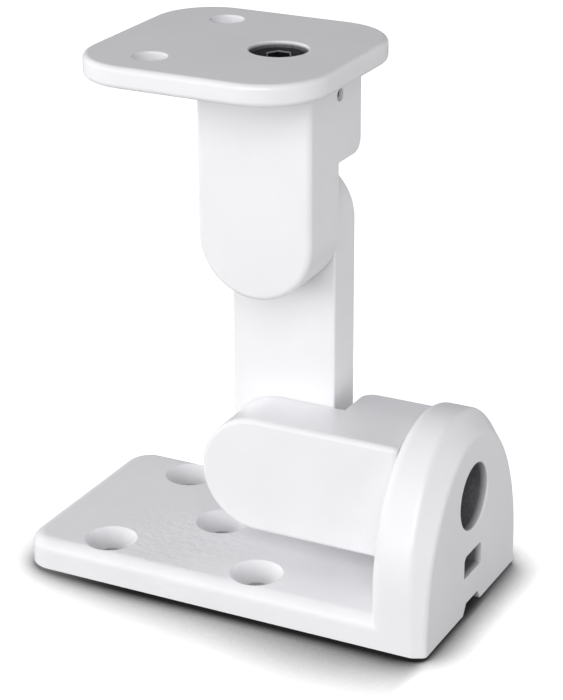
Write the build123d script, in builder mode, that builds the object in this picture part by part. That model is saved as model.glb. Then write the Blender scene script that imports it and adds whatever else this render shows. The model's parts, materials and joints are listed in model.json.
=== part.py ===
from build123d import *
import os

os.makedirs("parts", exist_ok=True)

# Millimetres. The origin is the middle of the wall screw pattern on the wall face.
# +X runs along the wall plate to its cheek, +Z leaves the wall, the arm's ears face -Y.

# Low-head M8 socket screws, four alike
bolt_diameter = 8.0
bolt_length = 16.0
bolt_tip_chamfer = 0.8
head_diameter = 13.0
head_height = 5.0
head_chamfer = 0.6
hex_size = 5.0
hex_depth = 2.6
hex_mouth_chamfer = 0.25
socket_point_depth = 1.0
head_clearance = 0.35
shank_clearance = 0.5
thread_clearance = 0.05
tap_runout = 0.8

# Washers
flat_washer_diameter = 15.0
flat_washer_thickness = 1.6
flat_washer_clearance = 0.6
spring_washer_diameter = 12.7
spring_washer_thickness = 2.0
spring_washer_split = 1.1
spring_washer_slant = 25.0
washer_bore_clearance = 0.2

# Spigots that turn in sockets, with a friction ring round each of them
well_floor = 4.0
spigot_wall = 1.4
swivel_spigot_length = 7.0
pivot_spigot_length = 3.0
running_clearance = 0.1
joint_gap = 0.3
ring_width = 2.0
ring_thickness = 1.0
ring_clearance = 0.1

# Knuckles, two alike
socket_back_wall = 3.6
socket_side_wall = 4.9
ear_end_wall = 1.2
body_end_wall = 2.5
body_gap = 3.0
body_corner_radius = 3.2
knuckle_edge_round = 1.3
set_screw_diameter = 3.0
set_screw_length = 4.0
set_screw_drop = 3.9
set_screw_offset = 2.0
set_screw_hex_size = 1.5
set_screw_hex_depth = 1.5

# Link between the two pivots
link_width = 27.0
link_thickness = 10.9
link_edge_round = 0.5
pivot_pitch = 59.2

# Wall plate
screw_pitch = 40.0
screw_side_margin = 8.5
screw_end_margin = 20.2
screw_hole_diameter = 5.0
countersink_diameter = 12.9
countersink_angle = 90.0
hole_edge_round = 0.4
plate_thickness = 7.5
plate_corner_radius = 7.0
plate_edge_round = 3.0

# Cheek, a tall arch whose bevel widens from the foot to the crown
cheek_distance = 47.0
cheek_thickness = 13.9
cheek_root = 4.0
swing_clearance = 7.0
crown_margin = 20.0
arch_spring_height = 14.0
face_spring_height = 4.3
foot_bevel_width = 1.5
foot_bevel_depth = 3.0
crown_bevel_width = 4.8
crown_bevel_depth = 4.8
bevel_round = 1.4
ridge_round = 1.8

# Cable tie path through the cheek's foot
window_width = 10.2
window_height = 5.7
window_sill = 9.5
window_corner_radius = 1.5
tie_bar_thickness = 5.0
tie_pocket_depth = 5.6
notch_foot_width = 10.4
notch_top_width = 7.0
notch_height = 2.6

# Speaker plate
speaker_hole_diameter = 7.8
speaker_hole_pitch = 36.5
speaker_hole_reach = 23.0
speaker_side_margin = 11.4
speaker_end_margin = 17.4
speaker_plate_tail = 19.5
speaker_plate_thickness = 5.2
speaker_free_corner_radius = 15.0
speaker_tail_corner_radius = 16.0
speaker_edge_round = 1.3

# Sizes that follow from the ones above
bolt_radius = bolt_diameter / 2
shank_hole_radius = bolt_radius + shank_clearance
tapped_radius = bolt_radius + thread_clearance
head_well_radius = head_diameter / 2 + head_clearance
cheek_well_radius = flat_washer_diameter / 2 + flat_washer_clearance
washer_bore_radius = bolt_radius + washer_bore_clearance
spigot_radius = cheek_well_radius + spigot_wall
socket_radius = spigot_radius + running_clearance
ring_inner_radius = socket_radius + ring_clearance
ring_outer_radius = ring_inner_radius + ring_width
ring_recess_radius = ring_outer_radius + ring_clearance
ring_recess_depth = ring_thickness - joint_gap

swivel_seat_depth = swivel_spigot_length - well_floor - joint_gap
swivel_tip_depth = swivel_seat_depth - spring_washer_thickness + bolt_length
swivel_tap_depth = swivel_tip_depth + tap_runout
pivot_seat_depth = pivot_spigot_length - well_floor - joint_gap
pivot_tip_depth = pivot_seat_depth - spring_washer_thickness + bolt_length
pivot_tap_depth = pivot_tip_depth + tap_runout

knuckle_width = 2 * (socket_radius + socket_side_wall)
knuckle_depth = 2 * (socket_radius + socket_back_wall)
ear_radius = knuckle_width / 2
ear_thickness = pivot_tap_depth + ear_end_wall
body_length = swivel_tap_depth + body_end_wall
pivot_to_body = link_width / 2 + body_gap
pivot_to_face = pivot_to_body + body_length
knuckle_front_y = -knuckle_depth / 2
knuckle_back_y = knuckle_depth / 2
ear_back_y = knuckle_front_y + ear_thickness
link_front_y = ear_back_y + joint_gap
link_back_y = link_front_y + link_thickness

plate_width = screw_pitch + 2 * screw_side_margin
plate_end_x = -(screw_pitch / 2 + screw_end_margin)
cheek_outer_x = screw_pitch / 2 + cheek_distance
cheek_inner_x = cheek_outer_x - cheek_thickness
swivel_z = plate_thickness + swing_clearance + ear_radius
arch_height = swivel_z + crown_margin
face_height = arch_height - crown_bevel_width
face_width = plate_width - 2 * foot_bevel_width
pivot_x = cheek_inner_x - joint_gap - pivot_to_face
upper_pivot_z = swivel_z + pivot_pitch
speaker_under_z = upper_pivot_z + pivot_to_face + joint_gap
speaker_top_z = speaker_under_z + speaker_plate_thickness
speaker_plate_width = speaker_hole_pitch + 2 * speaker_side_margin
speaker_free_x = pivot_x - speaker_hole_reach - speaker_end_margin
speaker_tail_x = pivot_x + speaker_plate_tail

# Each knuckle has its origin at its pivot, its local z towards its swivel face and its ear on -y
lower_frame = Plane(origin=(pivot_x, 0, swivel_z), x_dir=(0, 0, -1), z_dir=(1, 0, 0))
upper_frame = Plane(origin=(pivot_x, 0, upper_pivot_z), x_dir=(1, 0, 0), z_dir=(0, 0, 1))

# Each joint's bearing plane, the face that its spigot stands on, with z out of the bolt's head
cheek_joint = Plane(origin=(cheek_inner_x, 0, swivel_z), x_dir=(0, 0, -1), z_dir=(1, 0, 0))
lower_joint = Plane(origin=(pivot_x, link_front_y, swivel_z), x_dir=(1, 0, 0), z_dir=(0, 1, 0))
upper_joint = Plane(origin=(pivot_x, link_front_y, upper_pivot_z), x_dir=(1, 0, 0), z_dir=(0, 1, 0))
plate_joint = Plane(origin=(pivot_x, 0, speaker_under_z), x_dir=(1, 0, 0), z_dir=(0, 0, 1))


def arch_sketch(plane, width, spring_height, height):
    """Upright sides to the spring height, then half an ellipse to the crown."""
    half = width / 2
    with BuildSketch(plane) as sketch:
        with BuildLine():
            EllipticalCenterArc((0, spring_height), half, height - spring_height, arc_size=180)
            Polyline((-half, spring_height), (-half, 0), (half, 0), (half, spring_height))
        make_face()
    return sketch


def add_spigot(joint, length):
    """A round boss below a joint's bearing plane."""
    with BuildSketch(joint) as boss:
        Circle(spigot_radius)
    extrude(boss.sketch, amount=-length)


def sink_bolt_well(joint, wall, spigot_length, well_radius):
    """A bolt well from the outer face of a wall down into its spigot, and the shank hole below it."""
    with Locations(joint.offset(wall)):
        CounterBoreHole(
            shank_hole_radius,
            well_radius,
            counter_bore_depth=wall + spigot_length - well_floor,
            depth=wall + spigot_length,
        )


def round_hole_mouths(*faces):
    """A small round on the mouth of every hole in the faces."""
    fillet([e for face in faces for wire in face.inner_wires() for e in wire.edges()], hole_edge_round)


def build_knuckle(frame):
    """A block with a one-sided round ear, a socket in its swivel face and another in the ear's back."""
    front = Plane(origin=frame.origin, x_dir=frame.x_dir, z_dir=-frame.y_dir)
    swivel_face = frame.offset(pivot_to_face)
    ear_back = Plane(
        origin=frame.from_local_coords((0, ear_back_y, 0)), x_dir=frame.x_dir, z_dir=frame.y_dir
    )
    set_screw_mouth = Plane(
        origin=frame.from_local_coords((ear_radius, set_screw_offset, pivot_to_face - set_screw_drop)),
        x_dir=frame.y_dir,
        z_dir=frame.x_dir,
    )
    with BuildPart() as knuckle:
        with BuildSketch(front.offset(-ear_back_y)):
            with BuildLine():
                CenterArc((0, 0), ear_radius, 180, 180)
                Polyline(
                    (ear_radius, 0),
                    (ear_radius, pivot_to_face),
                    (-ear_radius, pivot_to_face),
                    (-ear_radius, 0),
                )
            make_face()
        extrude(amount=ear_thickness)
        with BuildSketch(front.offset(-knuckle_back_y)):
            with Locations((0, pivot_to_face - body_length / 2)):
                Rectangle(knuckle_width, body_length)
        extrude(amount=knuckle_back_y - ear_back_y)

        toward_back = Axis(frame.origin, frame.y_dir)
        along_body = Axis(frame.origin, frame.z_dir)
        back_face = knuckle.faces().sort_by(toward_back)[-1]
        fillet(back_face.edges().sort_by(along_body)[0], body_corner_radius)
        front_face = knuckle.faces().sort_by(toward_back)[0]
        end_face = knuckle.faces().sort_by(along_body)[-1]
        fillet(front_face.edges() + end_face.edges(), knuckle_edge_round)

        with Locations(swivel_face):
            CounterBoreHole(tapped_radius, socket_radius, swivel_spigot_length, depth=swivel_tap_depth)
            Hole(ring_recess_radius, depth=ring_recess_depth)
        with Locations(ear_back):
            CounterBoreHole(tapped_radius, socket_radius, pivot_spigot_length, depth=pivot_tap_depth)
            Hole(ring_recess_radius, depth=ring_recess_depth)
        with Locations(set_screw_mouth):
            Hole(set_screw_diameter / 2 + thread_clearance, depth=ear_radius)
    return knuckle


def build_bolt(joint, spigot_length, washers):
    """A low-head hex socket screw whose head stands on the washers in a joint's bolt well."""
    head_seat = joint.offset(well_floor - spigot_length + washers)
    with BuildPart() as bolt:
        with BuildSketch(head_seat):
            Circle(head_diameter / 2)
        extrude(amount=head_height)
        head_axis = Axis(joint.origin, joint.z_dir)
        chamfer(bolt.edges().filter_by(GeomType.CIRCLE).sort_by(head_axis)[-1], head_chamfer)
        with BuildSketch(head_seat):
            Circle(bolt_radius)
        extrude(amount=-bolt_length)
        chamfer(bolt.edges().filter_by(GeomType.CIRCLE).sort_by(head_axis)[0], bolt_tip_chamfer)
        with BuildSketch(head_seat.offset(head_height)):
            RegularPolygon(hex_size / 2, 6, major_radius=False)
        extrude(amount=-hex_depth, mode=Mode.SUBTRACT)
        chamfer(bolt.edges().filter_by(GeomType.LINE).group_by(head_axis)[-1], hex_mouth_chamfer)
        with Locations(head_seat.offset(head_height - hex_depth)):
            Cone(
                bottom_radius=0,
                top_radius=hex_size / 2,
                height=socket_point_depth,
                align=(Align.CENTER, Align.CENTER, Align.MAX),
                mode=Mode.SUBTRACT,
            )
    return bolt


def build_spring_washer(joint, spigot_length, stack_below):
    """A split ring of square wire, pressed flat under a bolt's head."""
    seat = joint.offset(well_floor - spigot_length + stack_below)
    outer = spring_washer_diameter / 2
    split = Plane(
        origin=seat.from_local_coords((outer, 0, spring_washer_thickness / 2)),
        x_dir=seat.y_dir,
        z_dir=seat.x_dir,
    )
    with BuildPart() as washer:
        with BuildSketch(seat):
            Circle(outer)
            Circle(washer_bore_radius, mode=Mode.SUBTRACT)
        extrude(amount=spring_washer_thickness)
        with BuildSketch(split):
            Rectangle(spring_washer_split, 2 * spring_washer_thickness, rotation=spring_washer_slant)
        extrude(amount=-outer, mode=Mode.SUBTRACT)
    return washer


def build_friction_ring(joint):
    """A thin plastic ring that stands between a joint's two faces, let into the knuckle."""
    with BuildPart() as ring:
        with BuildSketch(joint):
            Circle(ring_outer_radius)
            Circle(ring_inner_radius, mode=Mode.SUBTRACT)
        extrude(amount=-ring_thickness)
    return ring


def build_set_screw(frame):
    """A headless screw in a knuckle's side, its tip just off the spigot that it locks."""
    tip = Plane(
        origin=frame.from_local_coords(
            (spigot_radius + joint_gap, set_screw_offset, pivot_to_face - set_screw_drop)
        ),
        x_dir=frame.y_dir,
        z_dir=frame.x_dir,
    )
    with BuildPart() as screw:
        with BuildSketch(tip):
            Circle(set_screw_diameter / 2)
        extrude(amount=set_screw_length)
        with BuildSketch(tip.offset(set_screw_length)):
            RegularPolygon(set_screw_hex_size / 2, 6, major_radius=False)
        extrude(amount=-set_screw_hex_depth, mode=Mode.SUBTRACT)
    return screw


def write_step(builder, name):
    builder.part.label = name
    export_step(builder.part, f"parts/{name}.step")


# Wall plate and cheek, one casting
bevel_plane = Plane(
    origin=(cheek_outer_x - foot_bevel_depth, 0, 0),
    x_dir=(0, 1, 0),
    z_dir=(arch_height, 0, crown_bevel_depth - foot_bevel_depth),
)
tie_bar_x = cheek_outer_x - tie_bar_thickness
with BuildPart() as wall_plate:
    arch = arch_sketch(Plane.YZ.offset(cheek_inner_x), plate_width, arch_spring_height, arch_height)
    extrude(arch.sketch, amount=cheek_thickness)
    split(bisect_by=bevel_plane, keep=Keep.BOTTOM)
    ridge_face = wall_plate.faces().sort_by(Axis.X)[-1]
    outer_face = arch_sketch(
        Plane.YZ.offset(cheek_outer_x), face_width, face_spring_height, face_height
    )
    loft([ridge_face, outer_face.sketch.face()])
    ridge = [e for e in ridge_face.edges() if e.center().Z > 0]
    fillet([e for e in wall_plate.edges() if any(e.is_same(r) for r in ridge)], ridge_round)

    with BuildSketch(Plane.XY) as plate_outline:
        with Locations(((plate_end_x + cheek_inner_x + cheek_root) / 2, 0)):
            Rectangle(cheek_inner_x + cheek_root - plate_end_x, plate_width)
        fillet(plate_outline.vertices().group_by(Axis.X)[0], plate_corner_radius)
    extrude(amount=plate_thickness)

    top_face = wall_plate.faces().filter_by(Axis.Z).sort_by(Axis.Z)[-1]
    inner_face = wall_plate.faces().filter_by(Axis.X).sort_by(Axis.X)[1]
    corner_edge = top_face.edges().sort_by(Axis.X)[-1]
    rounded = [e for e in top_face.edges() + inner_face.edges() if not e.is_same(corner_edge)]
    fillet(rounded, plate_edge_round)
    cheek_face = wall_plate.faces().filter_by(Axis.X).sort_by(Axis.X)[-1]
    fillet([e for e in cheek_face.edges() if e.center().Z > 0], bevel_round)

    add_spigot(cheek_joint, swivel_spigot_length)
    sink_bolt_well(cheek_joint, cheek_thickness, swivel_spigot_length, cheek_well_radius)

    with Locations((0, 0, plate_thickness)):
        CounterSinkHole(
            screw_hole_diameter / 2, countersink_diameter / 2, counter_sink_angle=countersink_angle
        )
        with GridLocations(screw_pitch, screw_pitch, 2, 2):
            CounterSinkHole(
                screw_hole_diameter / 2, countersink_diameter / 2, counter_sink_angle=countersink_angle
            )
    top_face = wall_plate.faces().filter_by(Axis.Z).sort_by(Axis.Z)[-1]
    cheek_face = wall_plate.faces().filter_by(Axis.X).sort_by(Axis.X)[-1]
    round_hole_mouths(top_face, cheek_face)

    window_top = window_sill + window_height
    with BuildSketch(Plane.YZ.offset(cheek_outer_x)) as window:
        with Locations((0, window_sill + window_height / 2)):
            Rectangle(window_width, window_height)
        fillet(window.vertices().group_by(Axis.Y)[-1], window_corner_radius)
        with BuildLine():
            Polyline(
                (-notch_foot_width / 2, 0),
                (-notch_top_width / 2, notch_height),
                (notch_top_width / 2, notch_height),
                (notch_foot_width / 2, 0),
                close=True,
            )
        make_face()
    extrude(amount=-tie_bar_thickness, mode=Mode.SUBTRACT)
    with BuildSketch(Plane.YZ.offset(tie_bar_x)):
        Rectangle(window_width, window_top, align=(Align.CENTER, Align.MIN))
    extrude(amount=-tie_pocket_depth, mode=Mode.SUBTRACT)
write_step(wall_plate, "wall_plate")

# Knuckles and their set screws
write_step(build_knuckle(lower_frame), "lower_knuckle")
write_step(build_set_screw(lower_frame), "lower_set_screw")
write_step(build_knuckle(upper_frame), "upper_knuckle")
write_step(build_set_screw(upper_frame), "upper_set_screw")

# Link, a flat bar with round ends behind the two ears
with BuildPart() as link_arm:
    with BuildSketch(Plane.XZ.offset(-link_back_y)):
        with Locations((pivot_x, (swivel_z + upper_pivot_z) / 2)):
            SlotCenterToCenter(pivot_pitch, link_width, rotation=90)
    extrude(amount=link_thickness)
    fillet(link_arm.faces().filter_by(Axis.Y).edges(), link_edge_round)
    for joint in (lower_joint, upper_joint):
        add_spigot(joint, pivot_spigot_length)
        sink_bolt_well(joint, link_thickness, pivot_spigot_length, head_well_radius)
    round_hole_mouths(link_arm.faces().filter_by(Axis.Y).sort_by(Axis.Y)[-1])
write_step(link_arm, "link_arm")

# Speaker plate
with BuildPart() as speaker_plate:
    with BuildSketch(Plane.XY.offset(speaker_under_z)) as outline:
        with Locations(((speaker_free_x + speaker_tail_x) / 2, 0)):
            Rectangle(speaker_tail_x - speaker_free_x, speaker_plate_width)
        fillet(outline.vertices().group_by(Axis.X)[0], speaker_free_corner_radius)
        fillet(outline.vertices().group_by(Axis.X)[-1], speaker_tail_corner_radius)
    extrude(amount=speaker_plate_thickness)
    fillet(speaker_plate.faces().filter_by(Axis.Z).edges(), speaker_edge_round)
    add_spigot(plate_joint, swivel_spigot_length)
    sink_bolt_well(plate_joint, speaker_plate_thickness, swivel_spigot_length, head_well_radius)
    with Locations((pivot_x - speaker_hole_reach, 0, speaker_top_z)):
        with GridLocations(0, speaker_hole_pitch, 1, 2):
            Hole(speaker_hole_diameter / 2, depth=speaker_plate_thickness)
    round_hole_mouths(speaker_plate.faces().filter_by(Axis.Z).sort_by(Axis.Z)[-1])
write_step(speaker_plate, "speaker_plate")

# Screws, washers and friction rings of the four joints
cheek_flat_washer_seat = cheek_joint.offset(well_floor - swivel_spigot_length)
with BuildPart() as cheek_flat_washer:
    with BuildSketch(cheek_flat_washer_seat):
        Circle(flat_washer_diameter / 2)
        Circle(washer_bore_radius, mode=Mode.SUBTRACT)
    extrude(amount=flat_washer_thickness)
write_step(cheek_flat_washer, "cheek_flat_washer")

joints = [
    ("cheek", cheek_joint, swivel_spigot_length, flat_washer_thickness),
    ("lower_pivot", lower_joint, pivot_spigot_length, 0),
    ("upper_pivot", upper_joint, pivot_spigot_length, 0),
    ("plate", plate_joint, swivel_spigot_length, 0),
]
for name, joint, spigot_length, stack_below in joints:
    washers = stack_below + spring_washer_thickness
    write_step(build_bolt(joint, spigot_length, washers), f"{name}_bolt")
    write_step(build_spring_washer(joint, spigot_length, stack_below), f"{name}_spring_washer")
    write_step(build_friction_ring(joint), f"{name}_friction_ring")
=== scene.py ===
import bmesh
import bpy
import json
import math
from mathutils import Matrix, Vector


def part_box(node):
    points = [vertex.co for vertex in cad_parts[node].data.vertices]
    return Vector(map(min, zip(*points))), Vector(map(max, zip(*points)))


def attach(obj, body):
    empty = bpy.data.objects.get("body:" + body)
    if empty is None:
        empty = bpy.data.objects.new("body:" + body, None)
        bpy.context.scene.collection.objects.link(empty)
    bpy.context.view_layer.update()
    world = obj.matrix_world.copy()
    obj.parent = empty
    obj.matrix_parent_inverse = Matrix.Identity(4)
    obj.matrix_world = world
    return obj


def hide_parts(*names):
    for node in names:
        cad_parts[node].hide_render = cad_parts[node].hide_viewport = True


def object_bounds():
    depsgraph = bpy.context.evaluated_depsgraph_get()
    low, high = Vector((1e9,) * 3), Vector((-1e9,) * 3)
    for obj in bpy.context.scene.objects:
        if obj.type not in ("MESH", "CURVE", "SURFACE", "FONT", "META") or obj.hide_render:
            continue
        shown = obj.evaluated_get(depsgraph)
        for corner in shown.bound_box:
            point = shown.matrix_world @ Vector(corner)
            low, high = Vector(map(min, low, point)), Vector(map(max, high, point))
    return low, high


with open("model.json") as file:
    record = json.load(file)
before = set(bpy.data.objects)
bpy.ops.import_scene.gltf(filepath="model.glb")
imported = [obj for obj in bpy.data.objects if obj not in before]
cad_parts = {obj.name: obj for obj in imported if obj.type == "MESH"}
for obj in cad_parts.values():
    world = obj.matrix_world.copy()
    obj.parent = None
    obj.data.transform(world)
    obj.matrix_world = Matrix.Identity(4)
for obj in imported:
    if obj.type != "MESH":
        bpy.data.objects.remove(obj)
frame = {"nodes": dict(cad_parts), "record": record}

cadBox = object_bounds()
scene = bpy.context.scene
bpy.ops.object.select_all(action="DESELECT")
print("stage 1: frame loaded,", len(frame["nodes"]), "nodes")


# puts a camera or a lamp at a place and turns it towards another place
def aimAt(item, place, target):
    item.location = place
    direction = Vector(target) - Vector(place)
    item.rotation_euler = direction.to_track_quat("-Z", "Y").to_euler()


# camera at the photograph's angle, for a 563 x 700 picture
viewCamera = {
    "place": (0.24941, -0.45654, 0.27013),
    "lookAt": (0.01674, 0.01155, 0.06622),
    "lens": 120.31,
    "sensor": 36,
    "shift": (-0.0311, -0.0767),
    "nearClip": 0.01,
}
cameraData = bpy.data.cameras.new("viewCamera")
cameraData.lens = viewCamera["lens"]
cameraData.sensor_width = viewCamera["sensor"]
cameraData.shift_x, cameraData.shift_y = viewCamera["shift"]
cameraData.clip_start = viewCamera["nearClip"]
cameraObject = bpy.data.objects.new("viewCamera", cameraData)
scene.collection.objects.link(cameraObject)
aimAt(cameraObject, viewCamera["place"], viewCamera["lookAt"])
scene.camera = cameraObject
scene.view_settings.view_transform = "Standard"
print("stage 2: camera set")


# a new shader node, whose inputs each take a constant or a link from another node's socket
def addNode(tree, kind, inputs=None, **settings):
    node = tree.nodes.new(kind)
    for name, value in settings.items():
        setattr(node, name, value)
    for key, value in (inputs or {}).items():
        if isinstance(value, bpy.types.NodeSocket):
            tree.links.new(value, node.inputs[key])
        else:
            node.inputs[key].default_value = value
    return node


def addMath(tree, operation, first, second):
    return addNode(tree, "ShaderNodeMath", {0: first, 1: second}, operation=operation).outputs[0]


# a number carried from one span to another and held at its ends
def addRange(tree, source, span, values, shape="LINEAR"):
    inputs = {
        "Value": source,
        "From Min": span[0],
        "From Max": span[1],
        "To Min": values[0],
        "To Max": values[1],
    }
    return addNode(tree, "ShaderNodeMapRange", inputs, interpolation_type=shape).outputs["Result"]


# 1 for rays from the camera, a share of that for mirror and glass rays, 0 for the rest
def seenDirectly(tree, mirrorShare):
    path = addNode(tree, "ShaderNodeLightPath")
    mirrored = addMath(tree, "MAXIMUM", path.outputs["Is Glossy Ray"], path.outputs["Is Transmission Ray"])
    softened = addMath(tree, "MULTIPLY", mirrored, mirrorShare)
    return addMath(tree, "MAXIMUM", path.outputs["Is Camera Ray"], softened)


# pale floor, shown white to the camera, with a painted contact shadow from an ambient-occlusion node in its
# shown tone and glow, over the real shadow of its lit part; the painted shadow is darkest where the plate
# touches it, reaches further in front of the plate than beside the cheek and behind, and is weaker at the
# plate's open end than at the cheek's; besideCheek and openEnd count from those two ends of the CAD box
paleFloor = {
    "size": 6.0,
    "drop": 0.001,
    "tone": (0.4, 0.4, 0.4, 1),
    "shownGlow": 0.7,
    "shownGain": 0.9,
    "besideCheek": (-0.0025, 0.0015),
    "behindPlate": (0.0, 0.026),
    "contactReach": (0.012, 0.042),
    "contactPower": (1.2, 2.2),
    "contactSpan": (0.5, 1),
    "contactSamples": 16,
    "openEnd": (-0.0068, 0.0322),
    "contactDepth": (0.48, 0.14),
    "mirrorShare": 0.2,
}
bpy.ops.mesh.primitive_plane_add(size=paleFloor["size"], location=(0, 0, -paleFloor["drop"]))
floor = bpy.context.object
floor.name = "paleFloor"
floorMaterial = bpy.data.materials.new("paleFloor")
floorMaterial.use_nodes = True
floorTree = floorMaterial.node_tree
floorTree.nodes.clear()
floorPlace = addNode(floorTree, "ShaderNodeTexCoord")
floorAxes = addNode(floorTree, "ShaderNodeSeparateXYZ", {0: floorPlace.outputs["Object"]})
floorX = floorAxes.outputs["X"]
floorY = floorAxes.outputs["Y"]

# the painted contact shadow's reach, strength and depth, by the place on the floor
openEdge = cadBox[0][0]
cheekFace = cadBox[1][0]
cheekSpan = [cheekFace + offset for offset in paleFloor["besideCheek"]]
openSpan = [openEdge + offset for offset in paleFloor["openEnd"]]
leftOfCheek = addRange(floorTree, floorX, cheekSpan, (1, 0), "SMOOTHSTEP")
beforeBack = addRange(floorTree, floorY, paleFloor["behindPlate"], (1, 0), "SMOOTHSTEP")
inFront = addMath(floorTree, "MULTIPLY", leftOfCheek, beforeBack)
contactReach = addRange(floorTree, inFront, (0, 1), paleFloor["contactReach"])
contactPower = addRange(floorTree, inFront, (0, 1), paleFloor["contactPower"])
contactDepth = addRange(floorTree, floorX, openSpan, paleFloor["contactDepth"], "SMOOTHSTEP")
contact = addNode(
    floorTree, "ShaderNodeAmbientOcclusion", {"Distance": contactReach}, samples=paleFloor["contactSamples"]
)
contactSpread = addRange(floorTree, contact.outputs["AO"], paleFloor["contactSpan"], (contactDepth, 1))
paintedContactShade = addMath(floorTree, "POWER", contactSpread, contactPower)

# the floor as the camera sees it, lit and glowing, both darkened by the painted contact shadow, and the
# plain one that the object's light bounces off
litTone = addMath(floorTree, "MULTIPLY", paintedContactShade, paleFloor["shownGain"])
litFloor = addNode(floorTree, "ShaderNodeBsdfDiffuse", {"Color": litTone})
glowInputs = {"Color": paintedContactShade, "Strength": paleFloor["shownGlow"]}
glowFloor = addNode(floorTree, "ShaderNodeEmission", glowInputs)
shownFloor = addNode(floorTree, "ShaderNodeAddShader", {0: litFloor.outputs[0], 1: glowFloor.outputs[0]})
plainFloor = addNode(floorTree, "ShaderNodeBsdfDiffuse", {"Color": paleFloor["tone"]})
floorMix = addNode(
    floorTree,
    "ShaderNodeMixShader",
    {
        0: seenDirectly(floorTree, paleFloor["mirrorShare"]),
        1: plainFloor.outputs[0],
        2: shownFloor.outputs[0],
    },
)
addNode(floorTree, "ShaderNodeOutputMaterial", {"Surface": floorMix.outputs[0]})
floor.data.materials.append(floorMaterial)

# soft even room light, white to the camera and only a little brighter in mirror rays
roomLight = {
    "tone": (1.0, 0.985, 1.03, 1),
    "strength": 0.306,
    "shownTone": (1, 1, 1, 1),
    "shownStrength": 1.0,
    "mirrorShare": 0.03,
}
world = bpy.data.worlds.new("roomLight")
scene.world = world
world.use_nodes = True
roomTree = world.node_tree
roomTree.nodes.clear()
dimInputs = {"Color": roomLight["tone"], "Strength": roomLight["strength"]}
dimRoom = addNode(roomTree, "ShaderNodeBackground", dimInputs)
whiteInputs = {"Color": roomLight["shownTone"], "Strength": roomLight["shownStrength"]}
whiteRoom = addNode(roomTree, "ShaderNodeBackground", whiteInputs)
roomMix = addNode(
    roomTree,
    "ShaderNodeMixShader",
    {
        0: seenDirectly(roomTree, roomLight["mirrorShare"]),
        1: dimRoom.outputs[0],
        2: whiteRoom.outputs[0],
    },
)
addNode(roomTree, "ShaderNodeOutputWorld", {"Surface": roomMix.outputs[0]})

# softboxes: one high behind the camera and low ones all round, low enough to light the wall plate's top
# more than the speaker plate's; those at the sides and the back give no glints, as the photograph has none
softboxes = {
    "leftBox": {"place": (-1.0, -0.3, 0.27), "size": (1.6, 0.7), "power": 9.2, "glints": False},
    "frontBox": {"place": (-0.5, -1.3, 0.22), "size": (1.0, 0.5), "power": 2.2, "glints": True},
    "highBox": {"place": (0.3, -1.5, 0.9), "size": (1.6, 1.2), "power": 16.3, "glints": True},
    "rightBox": {"place": (0.9, -0.1, 0.08), "size": (1.0, 0.16), "power": 2.4, "glints": False},
    "backBox": {"place": (-0.1, 1.4, 0.06), "size": (1.8, 0.2), "power": 8.0, "glints": False},
}
softboxAim = (0.02, 0, 0.06)
for boxName, box in softboxes.items():
    lightData = bpy.data.lights.new(boxName, "AREA")
    lightData.shape = "RECTANGLE"
    lightData.size, lightData.size_y = box["size"]
    lightData.energy = box["power"]
    lightObject = bpy.data.objects.new(boxName, lightData)
    scene.collection.objects.link(lightObject)
    aimAt(lightObject, box["place"], softboxAim)
    lightObject.visible_glossy = box["glints"]
print("stage 3: floor, room light and", len(softboxes), "softboxes set")

# most of a noise's values lie in this span, which the ramps and ranges spread out
noiseSpan = (0.3, 0.7)


# shared start of every finish: its Principled shader, and Object coordinates from a centre
def startFinish(name, centre=(0, 0, 0)):
    material = bpy.data.materials.new(name)
    material.use_nodes = True
    tree = material.node_tree
    coordinates = addNode(tree, "ShaderNodeTexCoord")
    mappingInputs = {"Vector": coordinates.outputs["Object"], "Location": -Vector(centre)}
    mapping = addNode(tree, "ShaderNodeMapping", mappingInputs)
    return material, tree, tree.nodes["Principled BSDF"], mapping.outputs["Vector"]


# a noise is given as its scale, detail and roughness
def addNoise(tree, place, noise):
    scale, detail, roughness = noise
    inputs = {"Vector": place, "Scale": scale, "Detail": detail, "Roughness": roughness}
    return addNode(tree, "ShaderNodeTexNoise", inputs).outputs["Fac"]


def addRamp(tree, source, low, high):
    ramp = addNode(tree, "ShaderNodeValToRGB", {"Fac": source})
    for element, position, tone in zip(ramp.color_ramp.elements, noiseSpan, (low, high)):
        element.position = position
        element.color = tone
    return ramp.outputs["Color"]


def addBump(tree, source, strength, distance, before=None):
    inputs = {"Height": source, "Strength": strength, "Distance": distance}
    if before is not None:
        inputs["Normal"] = before
    return addNode(tree, "ShaderNodeBump", inputs).outputs["Normal"]


# a Mix node has its own two inputs and its own output for each kind of value
mixSockets = {"FLOAT": (2, 3, 0), "RGBA": (6, 7, 2)}


def addMix(tree, kind, share, first, second):
    firstInput, secondInput, result = mixSockets[kind]
    inputs = {0: share, firstInput: first, secondInput: second}
    return addNode(tree, "ShaderNodeMix", inputs, data_type=kind).outputs[result]


# white powder coat: fine orange peel over a slow ripple, strongest round one place, under a glossy skin
whiteCoat = {
    "lowTone": (0.868, 0.868, 0.884, 1),
    "highTone": (0.9, 0.9, 0.914, 1),
    "toneNoise": (60, 3, 0.5),
    "sheen": (0.3, 0.38),
    "coat": 0.45,
    "coatRoughness": 0.16,
    "peelNoise": (900, 2, 0.5),
    "peelDepth": 0.00003,
    "rippleNoise": (240, 2, 0.45),
    "rippleDepth": 0.00006,
    "ripplePlace": (0, 0, 0),
    "rippleReach": (0.05, 0.2),
    "rippleShare": (1, 0.12),
    "bumpStrength": 0.5,
    # a dark grey with grain and its own roughness, mixed in as painted shade in the wells and pockets
    "paintedShadeLow": (0.12, 0.12, 0.127, 1),
    "paintedShadeHigh": (0.17, 0.17, 0.178, 1),
    "paintedShadeNoise": (1200, 2, 0.5),
    "paintedShadeRoughness": 0.55,
}

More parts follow.
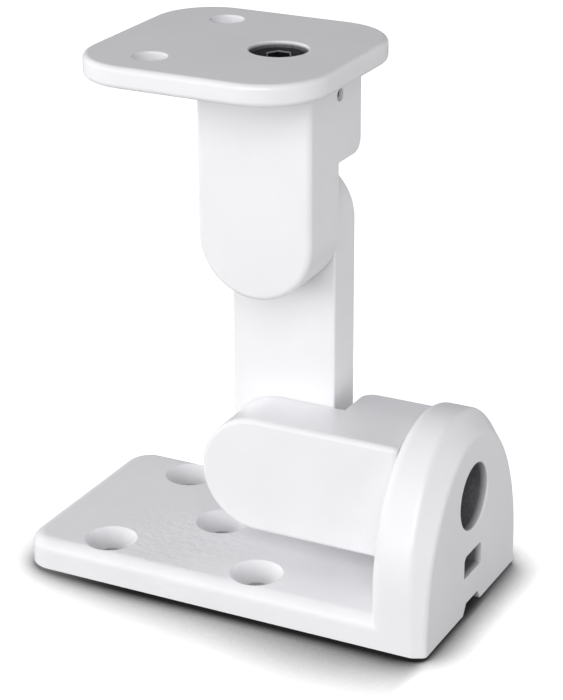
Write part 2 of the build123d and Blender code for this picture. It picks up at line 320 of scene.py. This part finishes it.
# on the wall plate's top face the ripple is coarse beside the front screw holes
wallPlateTop = 0.0075
castCoat = dict(
    whiteCoat,
    rippleNoise=(560, 2, 0.45),
    rippleDepth=0.0006,
    ripplePlace=(-0.004, -0.016, wallPlateTop),
    rippleReach=(0.007, 0.026),
)

# wells where shade is painted, with depths measured from the face that each one opens in: between the two
# fade depths a dark grey painted shade grows, to at most a share of the colour, and past the floor the coat
# is white again
millimetre = 0.001
joints = {joint["name"]: joint for joint in frame["record"]["behaviour"]["joints"]}
mounts = {mount["name"]: mount for mount in frame["record"]["mounts"]}
plateTop = cadBox[1][2]
cheekBoltWell = {
    "axis": "X",
    "centre": joints["cheek_swivel"]["pos_m"],
    "face": cheekFace,
    "radius": 0.00855,
    "fade": (0.0001, 0.0021),
    "floor": 0.0171,
    "paintedShadeShare": 1.0,
}
plateBoltWell = {
    "axis": "Z",
    "centre": joints["plate_swivel"]["pos_m"],
    "face": plateTop,
    "radius": 0.00715,
    "fade": (0.0004, 0.001),
    "floor": 0.0084,
    "paintedShadeShare": 1.0,
}
countersink = {
    "axis": "Z",
    "face": wallPlateTop,
    "radius": 0.0066,
    "fade": (0.0002, 0.0046),
    "floor": 0.0071,
    "paintedShadeShare": 0.4,
}

# five countersinks: the wall screws' square, and one in its middle
screwSquare = mounts["wall_screws"]["dims"]
halfLength = screwSquare["spacing_x_mm"] * millimetre / 2
halfWidth = screwSquare["spacing_y_mm"] * millimetre / 2
countersinkPlaces = [(0, 0, 0)]
countersinkPlaces += [(x, y, 0) for x in (-halfLength, halfLength) for y in (-halfWidth, halfWidth)]
wallPlateWells = [cheekBoltWell] + [dict(countersink, centre=place) for place in countersinkPlaces]

# the pocket behind the cheek's window, where shade is painted, as spans of depth from the cheek's face, of
# width and of height
cableTiePocket = {
    "face": cheekFace,
    "depth": (0.0001, 0.0107),
    "width": (-0.00515, 0.00515),
    "height": (-0.001, 0.01525),
    "fade": (0.0002, 0.0017),
    "paintedShadeShare": 0.95,
}


# share of painted shade, a dark grey that grows with the depth
def paintedShadeByDepth(tree, depth, hollow):
    return addRange(tree, depth, hollow["fade"], (0, hollow["paintedShadeShare"]))


# share of painted shade in a well, 0 outside it
def paintedShadeInWell(tree, place, well):
    acrossAxis = [0 if axis == well["axis"] else 1 for axis in "XYZ"]
    fromCentre = addNode(tree, "ShaderNodeVectorMath", {0: place, 1: well["centre"]}, operation="SUBTRACT")
    acrossInputs = {0: fromCentre.outputs["Vector"], 1: acrossAxis}
    across = addNode(tree, "ShaderNodeVectorMath", acrossInputs, operation="MULTIPLY")
    fromAxis = addNode(tree, "ShaderNodeVectorMath", {0: across.outputs["Vector"]}, operation="LENGTH")
    along = addNode(tree, "ShaderNodeSeparateXYZ", {0: place}).outputs[well["axis"]]
    depth = addMath(tree, "SUBTRACT", well["face"], along)
    isInside = addMath(tree, "LESS_THAN", fromAxis.outputs["Value"], well["radius"])
    isAboveFloor = addMath(tree, "LESS_THAN", depth, well["floor"])
    isInWell = addMath(tree, "MULTIPLY", isInside, isAboveFloor)
    return addMath(tree, "MULTIPLY", isInWell, paintedShadeByDepth(tree, depth, well))


# share of painted shade in a square pocket that is entered along X, 0 outside it
def paintedShadeInPocket(tree, place, pocket):
    axes = addNode(tree, "ShaderNodeSeparateXYZ", {0: place})
    depth = addMath(tree, "SUBTRACT", pocket["face"], axes.outputs["X"])
    spans = {"depth": depth, "width": axes.outputs["Y"], "height": axes.outputs["Z"]}
    share = paintedShadeByDepth(tree, depth, pocket)
    for spanName, measure in spans.items():
        low, high = pocket[spanName]
        isAbove = addMath(tree, "GREATER_THAN", measure, low)
        isBelow = addMath(tree, "LESS_THAN", measure, high)
        share = addMath(tree, "MULTIPLY", share, isAbove)
        share = addMath(tree, "MULTIPLY", share, isBelow)
    return share


def makeWhiteCoat(name, settings, wells=(), pockets=()):
    material, tree, shader, place = startFinish(name)
    tone = addNoise(tree, place, settings["toneNoise"])
    colour = addRamp(tree, tone, settings["lowTone"], settings["highTone"])
    peel = addNoise(tree, place, settings["peelNoise"])
    sheen = addRange(tree, peel, noiseSpan, settings["sheen"])

    # the ripple fades away from its place
    ripple = addNoise(tree, place, settings["rippleNoise"])
    distanceInputs = {0: place, 1: settings["ripplePlace"]}
    distance = addNode(tree, "ShaderNodeVectorMath", distanceInputs, operation="DISTANCE").outputs["Value"]
    share = addRange(tree, distance, settings["rippleReach"], settings["rippleShare"], "SMOOTHSTEP")
    shownRipple = addMath(tree, "MULTIPLY", ripple, share)
    rippleBump = addBump(tree, shownRipple, settings["bumpStrength"], settings["rippleDepth"])
    peelBump = addBump(tree, peel, settings["bumpStrength"], settings["peelDepth"], rippleBump)

    # painted shade: a dark grey, with its own roughness, deepens into the wells and pockets
    hollows = [paintedShadeInWell(tree, place, well) for well in wells]
    hollows += [paintedShadeInPocket(tree, place, pocket) for pocket in pockets]
    if hollows:
        paintedShadeMask = hollows[0]
        for hollow in hollows[1:]:
            paintedShadeMask = addMath(tree, "MAXIMUM", paintedShadeMask, hollow)
        grain = addNoise(tree, place, settings["paintedShadeNoise"])
        paintedShadeTone = addRamp(tree, grain, settings["paintedShadeLow"], settings["paintedShadeHigh"])
        colour = addMix(tree, "RGBA", paintedShadeMask, colour, paintedShadeTone)
        sheen = addMix(tree, "FLOAT", paintedShadeMask, sheen, settings["paintedShadeRoughness"])
    tree.links.new(colour, shader.inputs["Base Color"])
    tree.links.new(sheen, shader.inputs["Roughness"])
    tree.links.new(peelBump, shader.inputs["Normal"])
    shader.inputs["Coat Weight"].default_value = settings["coat"]
    shader.inputs["Coat Roughness"].default_value = settings["coatRoughness"]
    return material


# black oxide on the socket screws: dark, slightly blotchy, with faint turned rings round the screw's axis,
# and bright steel where the edges are worn, which the mesh says in its edgeWear attribute
blackOxide = {
    "lowTone": (0.006, 0.006, 0.007, 1),
    "highTone": (0.018, 0.018, 0.02, 1),
    "wornTone": (0.42, 0.42, 0.43, 1),
    "blotchNoise": (700, 4, 0.6),
    "sheen": (0.34, 0.5),
    "specular": 0.03,
    "ringScale": 900,
    "ringDistortion": 0.6,
    "ringDepth": 0.00002,
    "ringStrength": 0.3,
    "grainNoise": (3000, 2, 0.5),
    "grainDepth": 0.00002,
    "grainStrength": 0.4,
}


def makeBlackOxide(name, settings, centre, axis):
    material, tree, shader, place = startFinish(name, centre)
    blotch = addNoise(tree, place, settings["blotchNoise"])
    colour = addRamp(tree, blotch, settings["lowTone"], settings["highTone"])
    wear = addNode(tree, "ShaderNodeAttribute", attribute_name="edgeWear").outputs["Fac"]
    wornColour = addMix(tree, "RGBA", wear, colour, settings["wornTone"])
    sheen = addRange(tree, blotch, noiseSpan, settings["sheen"])
    ringInputs = {"Vector": place, "Scale": settings["ringScale"], "Distortion": settings["ringDistortion"]}
    rings = addNode(tree, "ShaderNodeTexWave", ringInputs, wave_type="RINGS", rings_direction=axis)
    ringBump = addBump(tree, rings.outputs["Fac"], settings["ringStrength"], settings["ringDepth"])
    grain = addNoise(tree, place, settings["grainNoise"])
    grainBump = addBump(tree, grain, settings["grainStrength"], settings["grainDepth"], ringBump)
    tree.links.new(wornColour, shader.inputs["Base Color"])
    tree.links.new(wear, shader.inputs["Metallic"])
    tree.links.new(sheen, shader.inputs["Roughness"])
    tree.links.new(grainBump, shader.inputs["Normal"])
    shader.inputs["Specular IOR Level"].default_value = settings["specular"]
    return material


# bright zinc on washers and set screws: faint blue and straw clouds, fine scratches
zincPlate = {
    "lowTone": (0.6, 0.62, 0.66, 1),
    "highTone": (0.76, 0.75, 0.71, 1),
    "cloudNoise": (350, 3, 0.55),
    "sheen": (0.24, 0.42),
    "fineNoise": (2400, 3, 0.7),
    "fineDepth": 0.00002,
    "fineStrength": 0.3,
    "metallic": 1,
}

# friction rings: creamy acetal, matte, a trace of moulding grain
ringAcetal = {
    "lowTone": (0.78, 0.77, 0.72, 1),
    "highTone": (0.86, 0.85, 0.81, 1),
    "cloudNoise": (300, 3, 0.5),
    "sheen": (0.5, 0.62),
    "fineNoise": (1800, 2, 0.5),
    "fineDepth": 0.00002,
    "fineStrength": 0.3,
    "metallic": 0,
}


# a clouded colour under one fine noise, which sets both the sheen and the bump
def makeCloudedFinish(name, settings):
    material, tree, shader, place = startFinish(name)
    cloud = addNoise(tree, place, settings["cloudNoise"])
    colour = addRamp(tree, cloud, settings["lowTone"], settings["highTone"])
    fine = addNoise(tree, place, settings["fineNoise"])
    sheen = addRange(tree, fine, noiseSpan, settings["sheen"])
    fineBump = addBump(tree, fine, settings["fineStrength"], settings["fineDepth"])
    tree.links.new(colour, shader.inputs["Base Color"])
    tree.links.new(sheen, shader.inputs["Roughness"])
    tree.links.new(fineBump, shader.inputs["Normal"])
    shader.inputs["Metallic"].default_value = settings["metallic"]
    return material


# which way each bolt's head faces, and the body that it rides on
screwAxes = {"cheek_bolt": "X", "lower_pivot_bolt": "Y", "upper_pivot_bolt": "Y", "plate_bolt": "Z"}
screwBodies = {}
for bodyName, nodeNames in frame["record"]["behaviour"]["bodies"].items():
    for nodeName in nodeNames:
        if nodeName in screwAxes:
            screwBodies[nodeName] = bodyName

# a finish for each material slot, and a finish of its own for each of the two plates and the four bolts
slotFinish = {
    "white_coat": makeWhiteCoat("whitePowderCoat", whiteCoat),
    "plated_steel": makeCloudedFinish("zincPlate", zincPlate),
    "friction_plastic": makeCloudedFinish("ringAcetal", ringAcetal),
}
nodeFinish = {
    "wall_plate": makeWhiteCoat("whitePowderCoatCast", castCoat, wallPlateWells, [cableTiePocket]),
    "speaker_plate": makeWhiteCoat("whitePowderCoatPlate", whiteCoat, [plateBoltWell]),
}
for nodeName, axis in screwAxes.items():
    low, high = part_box(nodeName)
    middle = (low + high) / 2
    nodeFinish[nodeName] = makeBlackOxide("blackOxide_" + nodeName, blackOxide, middle, axis)
for subpart in frame["record"]["subparts"]:
    nodeName = subpart["node"]
    finish = nodeFinish[nodeName] if nodeName in nodeFinish else slotFinish[subpart["material_slot"]]
    node = frame["nodes"][nodeName]
    node.data.materials.clear()
    node.data.materials.append(finish)

# socket screws: knurled low head, hexagon socket with a flared mouth and a drill point, rolled thread
socketScrew = {
    "headRadius": 0.0065,
    "headHeight": 0.005,
    "headEdge": 0.0009,
    "headEdgeSteps": 3,
    "seatEdge": 0.0002,
    "seatEdgeSteps": 2,
    "knurlCount": 36,
    "knurlDepth": 0.00013,
    "knurlInset": 0.00009,
    "hexAcross": 0.005,
    "hexTurn": 30,
    "hexDepth": 0.0026,
    "hexFlare": 0.00025,
    "pointInset": 0.00025,
    "pointDepth": 0.001,
    "pointTip": 0.04,
    "shankLength": 0.016,
    "shankOverlap": 0.0005,
    "coreRadius": 0.0033,
    "tipEdge": 0.0006,
    "tipEdgeSteps": 2,
    "crestRadius": 0.00397,
    "rootSink": 0.0001,
    "pitch": 0.00125,
    "footShare": 0.88,
    "crestShare": 0.18,
    "turns": 11,
    "turnSteps": 40,
    "weldDistance": 1e-7,
    "smoothAngle": 32,
    "mouthWear": 0.9,
    "rimWear": 0.12,
}

# limits for picking faces and edges by their place, their size or the way they face
faceLimits = {
    "flat": 0.9,
    "upright": 0.1,
    "slanted": (0.1, 0.95),
    "grooveArea": 5e-7,
    "sameHeight": 1e-6,
}


# selects edges or faces of the object in edit mode by a test on each
def selectWhere(kind, test):
    bpy.ops.mesh.select_all(action="DESELECT")
    bpy.ops.mesh.select_mode(type="EDGE" if kind == "edges" else "FACE")
    mesh = bpy.context.object.data
    shape = bmesh.from_edit_mesh(mesh)
    for item in shape.edges if kind == "edges" else shape.faces:
        if test(item):
            item.select_set(True)
    bmesh.update_edit_mesh(mesh)


def atHeight(edge, height):
    return all(abs(corner.co.z - height) < faceLimits["sameHeight"] for corner in edge.verts)


# an upright bar with flat ends, round or with a few sides
def addBar(sides, radius, bottom, top, turn=0):
    bpy.ops.object.select_all(action="DESELECT")
    bpy.ops.mesh.primitive_cylinder_add(
        vertices=sides,
        radius=radius,
        depth=top - bottom,
        location=(0, 0, (bottom + top) / 2),
        rotation=(0, 0, math.radians(turn)),
    )
    bpy.ops.object.transform_apply(location=True, rotation=True, scale=True)
    return bpy.context.object


def extrudeBy(rise):
    bpy.ops.mesh.extrude_region_move(TRANSFORM_OT_translate={"value": (0, 0, rise)})


# the socket's cutter: a hexagon bar, flared at the mouth, carried on above the head, pointed at the bottom
def modelSocketCutter(sizes):
    headTop = sizes["headHeight"]
    socketFloor = headTop - sizes["hexDepth"]
    cornerRadius = sizes["hexAcross"] / math.sqrt(3)
    cutter = addBar(6, cornerRadius, socketFloor, headTop - sizes["hexFlare"], sizes["hexTurn"])
    bpy.ops.object.mode_set(mode="EDIT")
    selectWhere("faces", lambda face: face.normal.z > faceLimits["flat"])
    flare = 1 + sizes["hexFlare"] / (sizes["hexAcross"] / 2)
    extrudeBy(sizes["hexFlare"])
    bpy.ops.transform.resize(value=(flare, flare, 1))
    extrudeBy(headTop / 4)
    selectWhere("faces", lambda face: face.normal.z < -faceLimits["flat"])
    bpy.ops.mesh.inset(thickness=sizes["pointInset"], depth=0)
    extrudeBy(-sizes["pointDepth"])
    bpy.ops.transform.resize(value=(sizes["pointTip"], sizes["pointTip"], 1))
    bpy.ops.object.mode_set(mode="OBJECT")
    return cutter


def modelHead(sizes):
    headTop = sizes["headHeight"]
    head = addBar(2 * sizes["knurlCount"], sizes["headRadius"], 0, headTop)
    bpy.ops.object.mode_set(mode="EDIT")
    selectWhere("edges", lambda edge: atHeight(edge, headTop))
    bpy.ops.mesh.bevel(offset=sizes["headEdge"], segments=sizes["headEdgeSteps"], affect="EDGES")
    selectWhere("edges", lambda edge: atHeight(edge, 0))
    bpy.ops.mesh.bevel(offset=sizes["seatEdge"], segments=sizes["seatEdgeSteps"], affect="EDGES")

    # every other tall upright face is sunk a little, which leaves the knurl
    def isGroove(face):
        isUpright = abs(face.normal.z) < faceLimits["upright"]
        isTall = face.calc_area() > faceLimits["grooveArea"]
        middle = face.calc_center_median()
        turn = math.atan2(middle.y, middle.x) / math.pi * sizes["knurlCount"]
        return isUpright and isTall and round(turn - 0.5) % 2 == 0

    selectWhere("faces", isGroove)
    bpy.ops.mesh.inset(thickness=sizes["knurlInset"], depth=-sizes["knurlDepth"], use_individual=True)
    bpy.ops.object.mode_set(mode="OBJECT")

    cutter = modelSocketCutter(sizes)
    bpy.ops.object.select_all(action="DESELECT")
    head.select_set(True)
    bpy.context.view_layer.objects.active = head
    socket = head.modifiers.new("socket", "BOOLEAN")
    socket.operation = "DIFFERENCE"
    socket.solver = "EXACT"
    socket.object = cutter
    bpy.ops.object.modifier_apply(modifier="socket")
    bpy.data.objects.remove(cutter)
    return head


# the shank's core, which reaches a little into the head
def modelShank(sizes):
    tip = -sizes["shankLength"]
    shank = addBar(sizes["turnSteps"], sizes["coreRadius"], tip, sizes["shankOverlap"])
    bpy.ops.object.mode_set(mode="EDIT")
    selectWhere("edges", lambda edge: atHeight(edge, tip))
    bpy.ops.mesh.bevel(offset=sizes["tipEdge"], segments=sizes["tipEdgeSteps"], affect="EDGES")
    bpy.ops.object.mode_set(mode="OBJECT")
    return shank


# one tooth of the thread, a small four-sided section, wound up the shank and closed at both ends
def modelThread(sizes):
    bpy.ops.object.select_all(action="DESELECT")
    rootRadius = sizes["coreRadius"] - sizes["rootSink"]
    middle = (rootRadius + sizes["crestRadius"]) / 2
    foot = sizes["pitch"] * sizes["footShare"]
    startHeight = -sizes["shankLength"] + sizes["tipEdge"] + foot / 2
    upright = (math.radians(90), 0, 0)
    bpy.ops.mesh.primitive_plane_add(size=1, location=(middle, 0, startHeight), rotation=upright)
    thread = bpy.context.object
    thread.scale = (sizes["crestRadius"] - rootRadius, foot, 1)
    bpy.ops.object.transform_apply(location=True, rotation=True, scale=True)
    bpy.ops.object.mode_set(mode="EDIT")
    selectWhere("edges", lambda edge: all(corner.co.x > middle for corner in edge.verts))
    bpy.ops.transform.resize(value=(1, 1, sizes["crestShare"]))
    bpy.ops.object.mode_set(mode="OBJECT")
    wind = thread.modifiers.new("wind", "SCREW")
    wind.axis = "Z"
    wind.angle = math.radians(360)
    wind.screw_offset = sizes["pitch"]
    wind.steps = sizes["turnSteps"]
    wind.render_steps = sizes["turnSteps"]
    wind.iterations = sizes["turns"]
    bpy.ops.object.modifier_apply(modifier="wind")
    bpy.ops.object.mode_set(mode="EDIT")
    bpy.ops.mesh.select_all(action="SELECT")
    bpy.ops.mesh.remove_doubles(threshold=sizes["weldDistance"])
    bpy.ops.mesh.fill_holes(sides=4)
    bpy.ops.mesh.normals_make_consistent(inside=False)
    bpy.ops.object.mode_set(mode="OBJECT")
    return thread


# edges that lose their black first: the socket's flared mouth and, a little, the head's rim
def markWear(mesh, sizes):
    lowSlant, highSlant = faceLimits["slanted"]
    wear = mesh.attributes.new("edgeWear", "FLOAT", "FACE")
    for face in mesh.polygons:
        isSlanted = lowSlant < face.normal.z < highSlant
        if isSlanted and face.center.z > sizes["headHeight"] - sizes["headEdge"]:
            inMouth = math.hypot(face.center.x, face.center.y) < sizes["headRadius"] - sizes["headEdge"]
            wear.data[face.index].value = sizes["mouthWear"] if inMouth else sizes["rimWear"]


pattern = modelHead(socketScrew)
screwShank = modelShank(socketScrew)
screwThread = modelThread(socketScrew)
bpy.ops.object.select_all(action="DESELECT")
for part in (screwThread, screwShank, pattern):
    part.select_set(True)
bpy.context.view_layer.objects.active = pattern
bpy.ops.object.join()
bpy.ops.object.shade_smooth_by_angle(angle=math.radians(socketScrew["smoothAngle"]))
pattern.name = "socketScrewPattern"
markWear(pattern.data, socketScrew)

# one copy in each bolt's place, head out along the joint's axis
turnTo = {
    "X": Matrix.Rotation(math.radians(90), 4, "Y"),
    "Y": Matrix.Rotation(math.radians(-90), 4, "X"),
    "Z": Matrix(),
}
for nodeName, axis in screwAxes.items():
    low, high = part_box(nodeName)
    seat = (low + high) / 2
    seat["XYZ".index(axis)] = high["XYZ".index(axis)] - socketScrew["headHeight"]
    screw = bpy.data.objects.new("screw_" + nodeName, pattern.data.copy())
    scene.collection.objects.link(screw)
    screw.data.transform(Matrix.Translation(seat) @ turnTo[axis])
    screw.data.materials.clear()
    screw.data.materials.append(nodeFinish[nodeName])
    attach(screw, screwBodies[nodeName])
    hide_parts(nodeName)
bpy.data.objects.remove(pattern)
print("stage 5:", len(screwAxes), "socket screws modelled")
